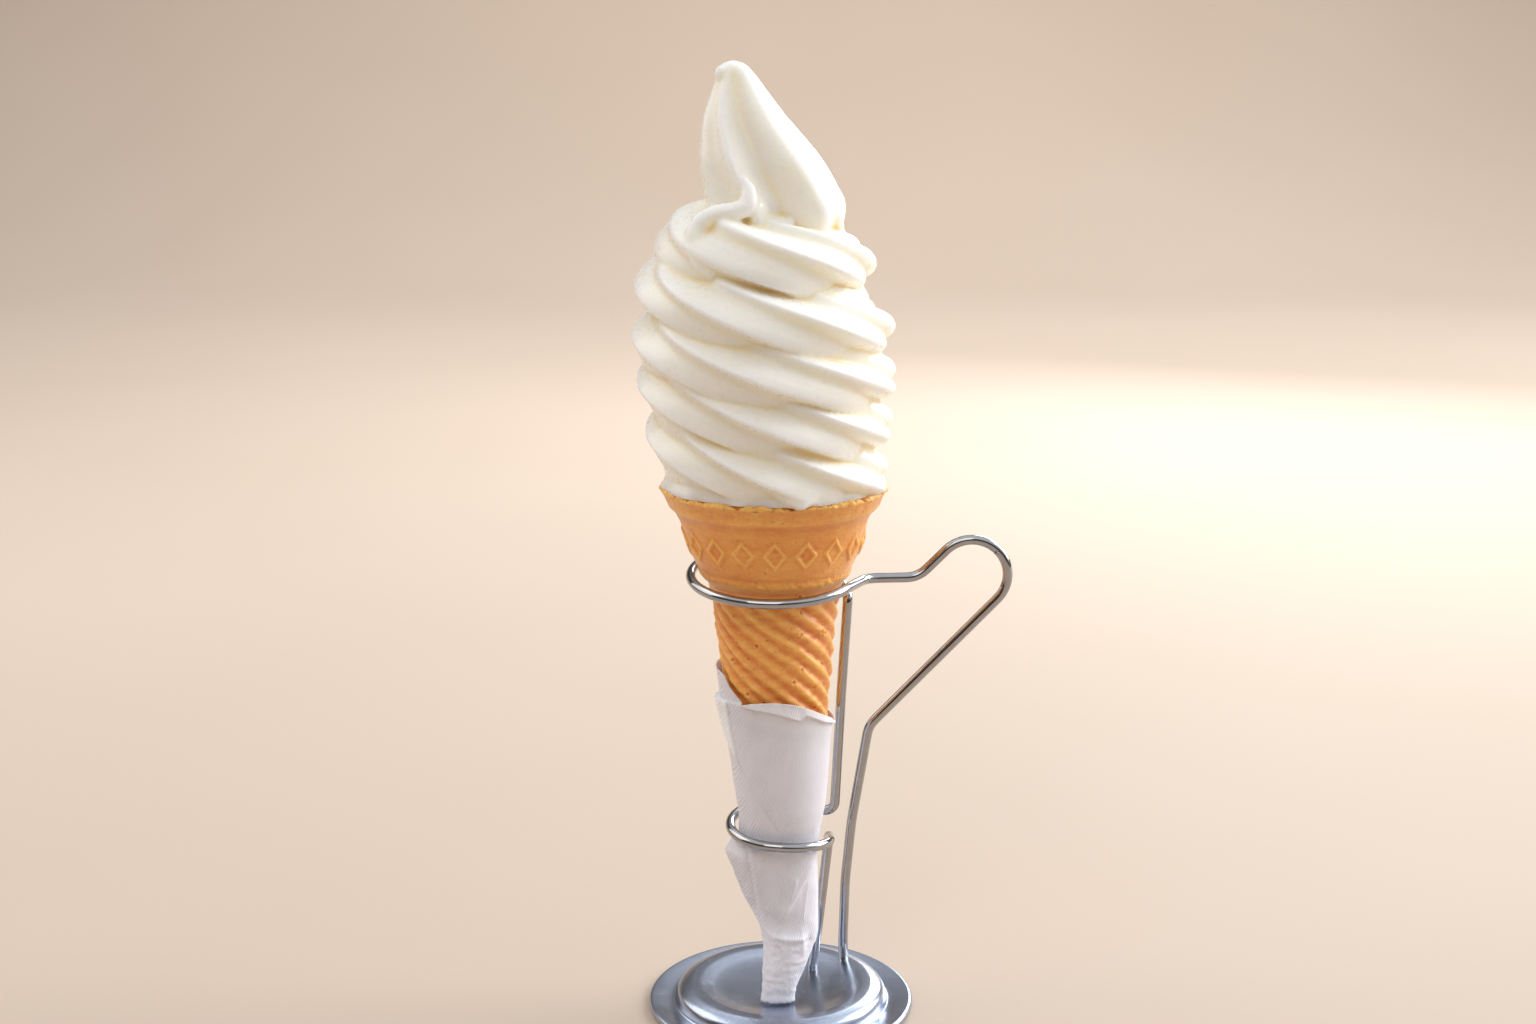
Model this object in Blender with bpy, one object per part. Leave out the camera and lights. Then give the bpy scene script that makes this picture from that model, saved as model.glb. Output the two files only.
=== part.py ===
"""Soft serve cone in a wire holder.

A wafer cone carries a piped swirl of soft ice cream and stands, in its paper sleeve, in the two rings of
one bent wire, whose two feet are set in a round metal base. Lengths are in millimetres here and become
metres when a mesh is made. +Z is up, the front faces -Y, and the origin is the middle of the base's
underside.
"""

import math

import bmesh
import bpy
import numpy as np
from mathutils import Vector

MM = 0.001
GAP = 0.3  # kept between neighbouring pieces

# Cone: its axis leans a little to the left and backwards, as it stands in the rings.
RIM_RADIUS = 29.0
RIM_TOP = 141.1
CUP_FLOOR = 138.6
PLUG_RADIUS = 26.5
CONE_TIP = 26.6
CONE_FOOT = (0.07, -1.08)  # where the axis meets the height 0
CONE_LEAN = (-0.0143, 0.0154)  # sideways shift for each millimetre of height
CONE_SIDES = 36
CONE_WALL = (  # radius and height, from the lip down to the tip
    (PLUG_RADIUS + 0.4, CUP_FLOOR),
    (PLUG_RADIUS + 0.7, RIM_TOP),
    (RIM_RADIUS - 0.3, RIM_TOP),
    (RIM_RADIUS, RIM_TOP - 0.7),
    (27.5, 138.0),
    (25.3, 134.9),
    (24.1, 133.3),
    (23.1, 129.9),
    (22.6, 127.5),
    (21.9, 125.0),
    (20.9, 122.6),
    (19.5, 120.4),
    (19.2, 119.0),
    (17.3, 116.4),
    (16.45, 110.0),
    (13.85, 85.0),
    (9.8, 50.0),
    (6.8, 30.0),
    (4.2, 27.3),
)

# Swirl: a rope from a six-pointed star nozzle, laid in falling turns. Each row holds the turn, the height
# of the rope's middle, the reach of its ridges from the axis, and how far its ridges are turned, in degrees.
# Turn 0 is at the front and the turns run to the right.
SWIRL = (
    (-0.75, 205.5, 18.0, -18.0),
    (-0.50, 203.5, 24.0, -18.0),
    (-0.25, 200.8, 27.9, -19.0),
    (0.00, 199.5, 28.3, -20.0),
    (0.25, 197.2, 28.2, -18.0),
    (0.50, 194.5, 32.0, -17.0),
    (1.00, 185.5, 33.0, -12.0),
    (2.00, 173.2, 34.2, 1.0),
    (3.00, 161.8, 32.8, -3.0),
    (4.00, 148.8, 31.6, -4.0),
    (4.75, 141.0, 28.0, -4.0),
)
RIDGES = 6
ROPE_RADIUS = 12.6
ROPE_GROOVE = 0.30  # depth of the grooves, as a share of the radius
ROPE_ROUND = 0.16  # how round a ridge's crest is, as a share of half a groove
ROPE_SQUASH = ((-0.75, 1.0), (0.0, 0.98), (0.5, 0.9), (1.0, 0.84))  # height of the rope to its width
SWIRL_AXIS = ((-0.75, -2.5), (-0.25, -4.0), (1.0, -4.4), (2.5, -4.0), (4.0, -2.8), (4.75, -2.0))
SWIRL_TILT = ((-0.25, 0.0), (0.0, 0.6), (1.0, 1.8), (2.0, 2.4))  # how much higher the left side lies
CORE = ((139, 21), (146, 25), (162, 27), (180, 27.5), (190, 25.5), (199, 20), (205, 11))
CORE_AXIS = -3.6

# Peak: height, radius and sideways lean of the fluted tip that the nozzle leaves as it lifts.
PEAK = (
    (203.2, 12.0, -0.6),
    (204.3, 14.2, -0.8),
    (206.0, 16.4, -0.9),
    (208.5, 17.4, -1.0),
    (212.0, 17.6, -1.4),
    (216.5, 17.1, -2.6),
    (223.0, 15.6, -5.0),
    (228.0, 13.2, -6.6),
    (234.0, 10.0, -8.5),
    (240.0, 6.9, -9.9),
    (244.0, 4.7, -10.8),
    (246.3, 2.6, -11.2),
    (247.1, 0.3, -11.3),
)
PEAK_GROOVES = (0.40, 0.24, 0.24, 0.24, 0.24, 0.15)  # depth of each groove, from the front to the right
PEAK_ROUNDS = (0.05, 0.45, 0.2, 0.2, 0.2, 0.5)  # roundness of each ridge, from the front one to the right
PEAK_TURN = (-13.0, -19.0)  # how far its ridges are turned at its foot and at its tip
CURL = (  # x, y, height and radius along the bead that hooks from the peak's front ridge to the top turn
    (-13.1, -9.0, 231.7, 0.8),
    (-12.0, -12.6, 224.5, 1.4),
    (-9.9, -15.0, 219.7, 1.9),
    (-7.7, -16.4, 216.4, 2.3),
    (-7.9, -17.2, 213.4, 2.5),
    (-10.9, -17.8, 212.0, 2.6),
    (-16.5, -17.8, 211.1, 2.6),
    (-20.2, -17.6, 208.6, 2.7),
    (-21.8, -18.0, 205.0, 2.6),
    (-20.4, -20.0, 200.6, 2.2),
    (-16.4, -22.0, 196.8, 1.2),
)
SWIRL_VOXEL = 1.0
SWIRL_KEPT = 0.0540  # share of the remeshed triangles that the solid keeps

# Paper sleeve: left edge, right edge, half its depth and the middle of its depth at each height. Under the
# lower ring it spreads into a folded flap on its left, then narrows to a flat tail.
SLEEVE = (
    (95.0, -17.5, 14.9, 16.0, 0.3),
    (81.5, -15.55, 13.35, 14.45, 0.2),
    (62.3, -12.8, 11.95, 12.4, -0.1),
    (51.0, -11.4, 10.9, 11.2, -0.2),
    (47.4, -11.6, 10.5, 10.7, -0.2),
    (45.6, -13.9, 10.2, 10.3, -0.2),
    (43.4, -15.0, 9.9, 10.1, -0.2),
    (37.7, -12.9, 9.9, 9.2, -0.4),
    (32.4, -10.8, 10.1, 8.4, -0.8),
    (27.2, -8.3, 10.1, 7.4, -1.6),
    (22.0, -5.6, 10.1, 6.4, -3.4),
    (17.2, -4.9, 8.5, 5.4, -6.0),
    (12.0, -5.2, 5.9, 4.4, -8.6),
    (8.4, -5.2, 4.5, 3.3, -10.4),
    (5.9, -5.6, 3.9, 2.6, -11.6),
)
SLEEVE_LEVELS = (62.0, 53.0, 49.0, 46.5, 43.5, 38.0, 32.0, 27.0, 22.0, 17.0, 12.0, 8.4, 5.9)
TOP_EDGE = (  # angle from the front, in degrees, and height of the paper's upper edge
    (-180, 88.5),
    (-120, 95.0),
    (-90, 95.0),
    (-61, 94.5),
    (-53, 90.6),
    (-44, 88.6),
    (-35, 86.9),
    (-4, 88.1),
    (13, 87.6),
    (30, 86.0),
    (50, 83.4),
    (67, 81.3),
    (86, 79.0),
    (130, 81.0),
    (180, 88.5),
)
LAP_LINE = ((50.0, 84.0), (0.1, -0.45))  # heights and angles of the edge that laps over the paper under it
LAP_STEP = 0.45
FLAP_TOP = 50.0
TAIL_TOP = 22.0

# Wire: one round wire, from the foot behind the handle to the foot below the lower ring.
WIRE_RADIUS = 1.3
FOOT_DEPTH = 2.2  # height of the wire's ends, inside the base
HOLE_RADIUS = 1.7
UPPER_RING = (-2.1, 1.0, 117.6)
UPPER_RING_RADIUS = 21.15
LOWER_RING = (0.1, 0.0, 50.2)
LOWER_RING_RADIUS = 13.3
RING_SLOPE = 0.11  # both rings are lower at the front
UPPER_DROP = 8.0  # how far each ring has sunk where it ends
LOWER_DROP = 5.0
DROP_SPAN = 110  # degrees of a ring over which it sinks

# Base: radius and height along its upper face, from the rim to the middle.
BASE_RADIUS = 35.2
BASE_PROFILE = (
    (BASE_RADIUS - 0.5, 0.0),
    (BASE_RADIUS, 1.5),
    (34.4, 2.1),
    (28.7, 1.5),
    (27.8, 3.6),
    (26.2, 5.3),
    (22.0, 5.9),
)
BASE_MIDDLE = 5.0
BASE_SIDES = 44


def through(rows, at):
    """Smooth values at the given places, through rows of (place, value), never past their extremes."""
    place, value = np.array(rows, float).T
    width = np.diff(place)
    slope = np.diff(value) / width
    tangent = np.zeros(len(place))
    tangent[0] = slope[0]
    tangent[-1] = slope[-1]
    for i in range(1, len(slope)):
        if slope[i - 1] * slope[i] > 0:
            before = 2 * width[i] + width[i - 1]
            after = width[i] + 2 * width[i - 1]
            tangent[i] = (before + after) / (before / slope[i - 1] + after / slope[i])
    at = np.clip(at, place[0], place[-1])
    i = np.clip(np.searchsorted(place, at) - 1, 0, len(width) - 1)
    t = (at - place[i]) / width[i]
    return (
        (1 + 2 * t) * (1 - t) ** 2 * value[i]
        + t * (1 - t) ** 2 * width[i] * tangent[i]
        + t**2 * (3 - 2 * t) * value[i + 1]
        + t**2 * (t - 1) * width[i] * tangent[i + 1]
    )


def columns(table, *wanted):
    """Pairs of a table's first column with each wanted one, as rows for through()."""
    return [[(row[0], row[column]) for row in table] for column in wanted]


def shell(bm, rings):
    """Adds one closed surface through rings of points, capped at both ends."""
    loops = [[bm.verts.new(Vector(point) * MM) for point in ring] for ring in rings]
    for near, far in zip(loops, loops[1:]):
        for i in range(len(near)):
            j = (i + 1) % len(near)
            bm.faces.new((near[i], near[j], far[j], far[i]))
    bm.faces.new(loops[0][::-1])
    bm.faces.new(loops[-1])


def turned(profile, axis, sides):
    """Rings of a turned shape, from its (radius, height) points, about an axis given by height."""
    angle = np.linspace(0, 2 * math.pi, sides, endpoint=False)
    rings = []
    for radius, height in profile:
        x, y = axis(height)
        circle = [x + radius * np.sin(angle), y - radius * np.cos(angle), np.full(sides, height)]
        rings.append(np.stack(circle, axis=1))
    return rings


def cone_axis(height):
    """Where the cone's leaning axis is at a height."""
    return (CONE_FOOT[0] + CONE_LEAN[0] * height, CONE_FOOT[1] + CONE_LEAN[1] * height)


def upright_axis(height):
    """The axis of what stands straight."""
    return (0.0, 0.0)


def material(name, color, roughness, metallic=0.0):
    made = bpy.data.materials.new(name)
    made.use_nodes = True
    shader = made.node_tree.nodes["Principled BSDF"]
    shader.inputs["Base Color"].default_value = (*color, 1.0)
    shader.inputs["Roughness"].default_value = roughness
    shader.inputs["Metallic"].default_value = metallic
    return made


def solid(name, surfaces, finish=None):
    """An object made of closed surfaces, each a list of rings."""
    bm = bmesh.new()
    for rings in surfaces:
        shell(bm, rings)
    bmesh.ops.recalc_face_normals(bm, faces=bm.faces)
    mesh = bpy.data.meshes.new(name)
    bm.to_mesh(mesh)
    bm.free()
    made = bpy.data.objects.new(name, mesh)
    bpy.context.collection.objects.link(made)
    if finish:
        mesh.materials.append(finish)
        mesh.shade_smooth()
    return made


def cut(target, cutter):
    """Takes a hidden cutter's shape out of a solid."""
    cutter.hide_render = True
    cutter.display_type = "WIRE"
    modifier = target.modifiers.new("cut " + cutter.name, "BOOLEAN")
    modifier.operation = "DIFFERENCE"
    modifier.solver = "EXACT"
    modifier.object = cutter


def star(share, groove, ridge_round):
    """Radius of a star nozzle's outline: 1 on a ridge, where share is whole, and 1 - groove between two."""
    away = np.abs((share + 0.5) % 1.0 - 0.5) * 2
    away = (np.sqrt(away**2 + ridge_round**2) - ridge_round) / (np.sqrt(1 + ridge_round**2) - ridge_round)
    return 1 - groove * (1 - (1 - away) ** 1.8)


def rope_rings(steps, sides):
    """The rope's cross-sections. Their points follow its ridges, which keep facing the way the nozzle did."""
    heights, reaches, ridge_turns = columns(SWIRL, 1, 2, 3)
    turn = np.linspace(SWIRL[0][0], SWIRL[-1][0], steps)
    around = 2 * math.pi * turn
    outward = np.stack([np.sin(around), -np.cos(around), 0 * around], axis=1)
    middle = outward * (through(reaches, turn) - ROPE_RADIUS)[:, None]
    middle[:, 0] += through(SWIRL_AXIS, turn)
    middle[:, 2] = through(heights, turn) - through(SWIRL_TILT, turn) * np.sin(around)
    along = np.linspace(0, 2 * math.pi, sides, endpoint=False)
    angle = (np.radians(through(ridge_turns, turn)) - around)[:, None] + along
    radius = ROPE_RADIUS * star(along * RIDGES / (2 * math.pi), ROPE_GROOVE, ROPE_ROUND)
    rings = middle[:, None, :] + (radius * np.cos(angle))[:, :, None] * outward[:, None, :]
    rings[:, :, 2] += radius * np.sin(angle) * through(ROPE_SQUASH, turn)[:, None]
    return rings


def peak_rings(steps, sides):
    """The fluted tip's level cross-sections."""
    heights = np.array(PEAK)[:, 0]
    height = through(list(enumerate(heights)), np.linspace(0, len(heights) - 1, steps))
    radii, leans = columns(PEAK, 1, 2)
    fade = np.clip((heights[-1] - height) / 6, 0, 1)
    ridge_turn = np.radians(np.interp(height, heights[[0, -1]], PEAK_TURN))
    along = np.linspace(0, 2 * math.pi, sides, endpoint=False)
    angle = ridge_turn[:, None] + along
    share = along * RIDGES / (2 * math.pi)
    groove = np.array(PEAK_GROOVES)[share.astype(int)] * fade[:, None]
    ridge_round = np.array(PEAK_ROUNDS)[np.round(share).astype(int) % RIDGES]
    radius = through(radii, height)[:, None] * star(share, groove, ridge_round)
    x = through(leans, height)[:, None] + radius * np.sin(angle)
    z = np.broadcast_to(height[:, None], x.shape)
    return np.stack([x, -radius * np.cos(angle), z], axis=2)


def tube_rings(line, sides):
    """Cross-sections of a round tube along (x, y, z, radius) points, carried along them without twisting."""
    points = [Vector(point[:3]) for point in line]
    ahead = (points[1] - points[0]).normalized()
    side = ahead.orthogonal().normalized()
    rings = []
    for i, point in enumerate(points):
        before = points[max(i - 1, 0)]
        after = points[min(i + 1, len(points) - 1)]
        turned_ahead = (after - before).normalized()
        side = (ahead.rotation_difference(turned_ahead) @ side).normalized()
        ahead = turned_ahead
        up = ahead.cross(side)
        angles = [2 * math.pi * step / sides for step in range(sides)]
        radius = line[i][3]
        rings.append([point + radius * (math.cos(a) * side + math.sin(a) * up) for a in angles])
    return rings


def make_soft_serve():
    """The piped swirl: rope, peak and core joined by a remesh, cut to sit in the cone's cup."""
    plug = turned(((PLUG_RADIUS, CUP_FLOOR - 2), (PLUG_RADIUS, RIM_TOP + 6)), cone_axis, 48)
    core = turned([(radius, height) for height, radius in CORE], lambda height: (CORE_AXIS, 0.0), 48)
    at = np.linspace(0, len(CURL) - 1, 50)
    curl_line = np.stack([through(list(enumerate(values)), at) for values in zip(*CURL)], axis=1)
    curl = tube_rings(curl_line.tolist(), 12)
    surfaces = [rope_rings(520, 72), peak_rings(90, 96), core, plug, curl]
    swirl = solid("soft_serve", surfaces, material("ice_cream", (0.86, 0.83, 0.74), 0.35))
    remesh = swirl.modifiers.new("join", "REMESH")
    remesh.mode = "VOXEL"
    remesh.voxel_size = SWIRL_VOXEL * MM
    remesh.use_smooth_shade = True
    smooth = swirl.modifiers.new("soften", "SMOOTH")
    smooth.factor = 0.5
    smooth.iterations = 1
    decimate = swirl.modifiers.new("lighten", "DECIMATE")
    decimate.ratio = SWIRL_KEPT
    below = turned(
        (
            (0.01, RIM_TOP - 40),
            (60, RIM_TOP - 40),
            (60, RIM_TOP + GAP),
            (PLUG_RADIUS, RIM_TOP + GAP),
            (PLUG_RADIUS - 0.2, CUP_FLOOR + GAP),
            (0.01, CUP_FLOOR + GAP),
        ),
        cone_axis,
        48,
    )
    cut(swirl, solid("rim_cutter", [below]))


def cone_profile(grown):
    """The cone's closed outline, grown outwards; a grown one runs straight up past the lip."""
    if not grown:
        return [(0.01, CUP_FLOOR), *CONE_WALL, (0.01, CONE_TIP)]
    wall = [(radius + grown, height - grown) for radius, height in CONE_WALL if height < 115]
    return [(0.01, 116), (wall[0][0] + 0.7, 116), *wall, (0.01, CONE_TIP - grown)]


def make_cone():
    """The wafer cone: a flared lip, a cup for the swirl, a bead under the cup and a long tapered foot."""
    solid(
        "cone",
        [turned(cone_profile(0), cone_axis, CONE_SIDES)],
        material("wafer", (0.72, 0.42, 0.17), 0.6),
    )


def sleeve_ring(height):
    """One cross-section of the paper, at a height or at one height for each of its sides."""
    angle = np.linspace(0, 2 * math.pi, CONE_SIDES, endpoint=False)
    height = np.broadcast_to(height, angle.shape)
    left, right, depth, middle = (through(rows, height) for rows in columns(SLEEVE[::-1], 1, 2, 3, 4))
    across = np.sin(angle)
    flap = np.clip((FLAP_TOP - height) / 5, 0, 1) * np.clip((height - TAIL_TOP) / 6, 0, 1)
    pinched = np.where(across < 0, 1 - 0.75 * flap * across**4, 1.0)
    from_lap = (angle - np.interp(height, *LAP_LINE)) % (2 * math.pi) / (2 * math.pi)
    lap = LAP_STEP * from_lap * np.clip((height - FLAP_TOP) / 8, 0, 1)
    x = (left + right) / 2 + ((right - left) / 2 + lap) * across
    y = middle - (depth * pinched + lap) * np.cos(angle)
    return np.stack([x, y, height], axis=1)


def make_paper_sleeve():
    """The paper round the cone's foot: a thin wall where the cone fills it and a flat tail under it."""
    edge = through(TOP_EDGE, (np.linspace(0, 360, CONE_SIDES, endpoint=False) + 180) % 360 - 180)
    levels = [edge, (edge + SLEEVE_LEVELS[0]) / 2, *SLEEVE_LEVELS]
    rings = [sleeve_ring(level) for level in levels]
    rings.insert(0, rings[0] * (0.7, 0.7, 1.0))
    paper = solid("paper_sleeve", [rings], material("paper", (0.80, 0.79, 0.81), 0.75))
    cut(paper, solid("cone_cutter", [turned(cone_profile(GAP), cone_axis, CONE_SIDES)]))


def ring_arc(centre, radius, start, end, drop, step):
    """Points along a sloping ring, by angle in degrees from the front; it sinks by drop as it nears its end."""
    count = max(2, round(abs(end - start) / step)) + 1
    points = []
    for angle in np.linspace(start, end, count):
        sunk = drop * max(1 - abs(angle - end) / DROP_SPAN, 0) ** 1.5
        x = centre[0] + radius * math.sin(math.radians(angle))
        y = centre[1] - radius * math.cos(math.radians(angle))
        points.append((x, y, centre[2] + RING_SLOPE * (y - centre[1]) - sunk))
    return points


def filleted(corners, step):
    """A line of points with each corner, given as (x, y, z, radius), turned into an arc."""
    line = [Vector(corners[0][:3])]
    for before, corner, after in zip(corners, corners[1:], corners[2:]):
        here = Vector(corner[:3])
        back = (Vector(before[:3]) - here).normalized()
        on = (Vector(after[:3]) - here).normalized()
        bend = math.pi - back.angle(on)
        if corner[3] == 0 or bend < 0.01:
            line.append(here)
            continue
        reach = corner[3] * math.tan(bend / 2)
        middle = here + (back + on).normalized() * corner[3] / math.cos(bend / 2)
        start = here + back * reach
        count = max(2, round(math.degrees(bend) / step))
        axis_turn = (start - middle).rotation_difference(here + on * reach - middle)
        for i in range(count + 1):
            part = axis_turn.copy()
            part.angle = axis_turn.angle * i / count
            line.append(middle + part @ (start - middle))
    line.append(Vector(corners[-1][:3]))
    return line


def wire_points():
    """The holder's one wire: leg, handle, upper ring, upright, lower ring and second leg."""
    upper = ring_arc(UPPER_RING, UPPER_RING_RADIUS, 62, -243, UPPER_DROP, 12)
    lower = ring_arc(LOWER_RING, LOWER_RING_RADIUS, 138, 462, LOWER_DROP, 14)
    handle = (
        (17.2, 13.5, FOOT_DEPTH, 0),
        (17.2, 13.5, 6.5, 0),
        (17.1, 12.9, 13.0, 60),
        (17.5, 11.2, 30.0, 60),
        (19.0, 9.5, 47.7, 90),
        (23.2, 7.0, 75.0, 8),
        (62.5, 5.0, 116.8, 9.4),
        (49.2, 5.0, 129.7, 9.4),
        (35.5, 5.0, 115.9, 7),
        (21.9, 2.4, 116.3, 7),
        (*upper[0], 0),
    )
    upright = (
        (*upper[-1], 0),
        (17.5, 6.0, 110.8, 3.0),
        (16.0, 7.0, 86.0, 200),
        (14.3, 8.0, 50.2, 3.0),
        (*lower[0], 0),
    )
    second_leg = (
        (*lower[-1], 0),
        (12.9, 5.6, 45.2, 2.0),
        (11.8, 4.0, 36.0, 30),
        (9.4, 6.7, 13.0, 30),
        (8.7, 9.3, 6.6, 4),
        (8.7, 9.3, FOOT_DEPTH, 0),
    )
    return [
        *filleted(handle, 18),
        *upper[1:],
        *filleted(upright, 22)[1:],
        *lower[1:],
        *filleted(second_leg, 25)[1:],
    ]


def make_wire_holder():
    """The bent wire, as a bevelled curve with filled ends."""
    points = wire_points()
    curve = bpy.data.curves.new("wire_holder", "CURVE")
    curve.dimensions = "3D"
    curve.bevel_depth = WIRE_RADIUS * MM
    curve.bevel_resolution = 2
    curve.use_fill_caps = True
    spline = curve.splines.new("POLY")
    spline.points.add(len(points) - 1)
    for target, point in zip(spline.points, points):
        target.co = (*(Vector(point) * MM), 1.0)
    made = bpy.data.objects.new("wire_holder", curve)
    bpy.context.collection.objects.link(made)
    curve.materials.append(material("polished_wire", (0.62, 0.62, 0.63), 0.12, 1.0))


def make_base():
    """The round base: a rolled rim, a groove and a raised plate, with a hole for each foot of the wire."""
    profile = [(0.01, 0.0), *BASE_PROFILE, (0.01, BASE_MIDDLE)]
    base = solid(
        "base",
        [turned(profile, upright_axis, BASE_SIDES)],
        material("brushed_base", (0.50, 0.51, 0.54), 0.3, 1.0),
    )
    points = wire_points()
    for name, end in (("first_hole", points[0]), ("second_hole", points[-1])):
        x, y = end[0], end[1]
        hole = ((HOLE_RADIUS, 12), (HOLE_RADIUS, FOOT_DEPTH - GAP))
        cut(base, solid(name, [turned(hole, lambda height: (x, y), 12)]))


def main():
    for item in list(bpy.data.objects):
        bpy.data.objects.remove(item, do_unlink=True)
    make_soft_serve()
    make_cone()
    make_paper_sleeve()
    make_wire_holder()
    make_base()


main()
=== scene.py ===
# %% [markdown]
# # A soft serve cone in its wire holder
#
# A cone of soft ice cream stands in a bent wire, on a round metal base, with a paper sleeve round its
# foot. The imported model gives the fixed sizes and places. This lesson makes the pieces that are looked
# at: each is a mesh made from a few named sizes and a formula, with a material made of nodes. Sizes are
# in millimetres, as a maker would note them, and they become metres when a mesh is made.

import math

import bmesh
import bpy
import numpy as np
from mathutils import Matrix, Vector, noise


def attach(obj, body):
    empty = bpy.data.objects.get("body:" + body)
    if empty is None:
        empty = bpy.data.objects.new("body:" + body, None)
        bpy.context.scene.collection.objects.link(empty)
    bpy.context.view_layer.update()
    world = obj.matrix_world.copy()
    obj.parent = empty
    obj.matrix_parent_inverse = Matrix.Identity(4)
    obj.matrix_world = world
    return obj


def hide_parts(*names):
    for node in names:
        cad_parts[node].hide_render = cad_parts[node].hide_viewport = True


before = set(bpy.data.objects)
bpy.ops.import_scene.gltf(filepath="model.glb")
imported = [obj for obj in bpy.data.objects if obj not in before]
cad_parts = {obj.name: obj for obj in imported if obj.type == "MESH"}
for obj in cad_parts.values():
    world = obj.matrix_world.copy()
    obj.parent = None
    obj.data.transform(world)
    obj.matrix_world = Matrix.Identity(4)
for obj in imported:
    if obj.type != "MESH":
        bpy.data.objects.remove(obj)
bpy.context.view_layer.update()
MM = 0.001
print("nodes:", sorted(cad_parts))

# %% [markdown]
# ## Camera
#
# The camera looks slightly down on the cone from a little over half a metre, with a 50 mm lens. That
# gives the calm perspective of a product picture, in which the rings of the wire show as flat ellipses.

# %% Camera
camera_data = bpy.data.cameras.new("camera")
camera_data.lens = 50
camera_data.sensor_width = 36
camera = bpy.data.objects.new("camera", camera_data)
camera.location = (-0.0034, -0.5316, 0.2506)
camera.rotation_euler = (math.radians(90 - 12.34), 0, 0)
bpy.context.collection.objects.link(camera)
bpy.context.scene.camera = camera
print("camera", [round(value, 3) for value in camera.location])

# %% [markdown]
# ## Shader maths as Python
#
# A material is a graph of nodes. Written node by node it is long to read, so one small class wraps a
# node's output: `a * 2 + b` then adds the Math nodes by itself. Any other node comes from its method
# `node`, which sets the node's own settings first and its sockets after that.


# %% A socket that can be calculated with
class Link:
    """One output of a shader node."""

    def __init__(self, tree, socket=None):
        self.tree = tree
        self.socket = socket

    def node(self, kind, settings=None, sockets=None, output=0):
        made = self.tree.nodes.new(kind)
        for name, value in (settings or {}).items():
            if name == "stops":
                for stop, (place, color) in zip(made.color_ramp.elements, value):
                    stop.position = place
                    stop.color = color
            else:
                setattr(made, name, value)
        for name, value in (sockets or {}).items():
            self.feed(made.inputs[name], value)
        return Link(self.tree, made.outputs[output])

    def feed(self, socket, value):
        if isinstance(value, Link):
            self.tree.links.new(value.socket, socket)
        else:
            socket.default_value = value

    def math(self, operation, first, second=0.0, clamp=False):
        settings = {"operation": operation, "use_clamp": clamp}
        return self.node("ShaderNodeMath", settings, {0: first, 1: second})

    def __add__(self, other):
        return self.math("ADD", self, other)

    def __sub__(self, other):
        return self.math("SUBTRACT", self, other)

    def __mul__(self, other):
        return self.math("MULTIPLY", self, other)

    def __rsub__(self, other):
        return self.math("SUBTRACT", other, self)

    __radd__ = __add__
    __rmul__ = __mul__

    def clamped(self):
        return self.math("ADD", self, 0.0, clamp=True)

    def between(self, low, high):
        """0 below low, 1 above high and a straight slope between them."""
        return self.math("MULTIPLY", self - low, 1.0 / (high - low), clamp=True)


# %% A material with its own finish
class Finish(Link):
    """A material whose colour, roughness and bump are given as links."""

    def __init__(self, name, **constants):
        self.material = bpy.data.materials.new(name)
        self.material.use_nodes = True
        super().__init__(self.material.node_tree)
        self.shader = self.tree.nodes["Principled BSDF"]
        for socket, value in constants.items():
            self.shader.inputs[socket.replace("_", " ")].default_value = value
        place = self.node("ShaderNodeTexCoord", output=3)
        sockets = {0: place, "Scale": 1.0 / MM}
        self.place = self.node("ShaderNodeVectorMath", {"operation": "SCALE"}, sockets)

    def stretched(self, x, y, z):
        """The place in millimetres, with its axes scaled."""
        return self.node("ShaderNodeVectorMath", {"operation": "MULTIPLY"}, {0: self.place, 1: (x, y, z)})

    def noise(self, size, detail=3.0, rough=0.5, place=None):
        """Cloudy values from 0 to 1 whose blobs are about size millimetres across."""
        sockets = {"Vector": place or self.place, "Scale": 1.0 / size, "Detail": detail, "Roughness": rough}
        return self.node("ShaderNodeTexNoise", None, sockets)

    def attribute(self, name):
        """A number that the mesh carries at each of its points."""
        return self.node("ShaderNodeAttribute", {"attribute_name": name}, output=2)

    def mix(self, factor, first, second):
        """A colour between two colours."""
        settings = {"data_type": "RGBA", "clamp_factor": True}
        return self.node("ShaderNodeMix", settings, {0: factor, 6: first, 7: second}, output=2)

    def bump(self, height, depth, strength=1.0, normal=None):
        """A normal bent by a height map, whose full range is depth millimetres deep."""
        sockets = {"Height": height, "Distance": depth * MM, "Strength": strength}
        if normal:
            sockets["Normal"] = normal
        return self.node("ShaderNodeBump", None, sockets)

    def wear(self, **links):
        """Feeds the shader's sockets that change over the surface."""
        for socket, link in links.items():
            self.feed(self.shader.inputs[socket.replace("_", " ")], link)
        print("finish", self.material.name, "has", len(self.tree.nodes), "nodes")
        return self.material


def rgb(red, green, blue):
    """A linear colour from the usual screen numbers, 0 to 255."""
    shares = (value / 255 for value in (red, green, blue))
    linear = [share / 12.92 if share <= 0.04045 else ((share + 0.055) / 1.055) ** 2.4 for share in shares]
    return (*linear, 1.0)


print("cream", [round(value, 2) for value in rgb(245, 240, 225)])

# %% [markdown]
# ## Meshes from rings
#
# Rope, cone, paper, wire and base are all drawn the same way: as cross-sections, one after another,
# joined into a skin. `through` gives smooth values from a short table, so that a shape needs only the
# few sizes that a maker would measure.


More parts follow.
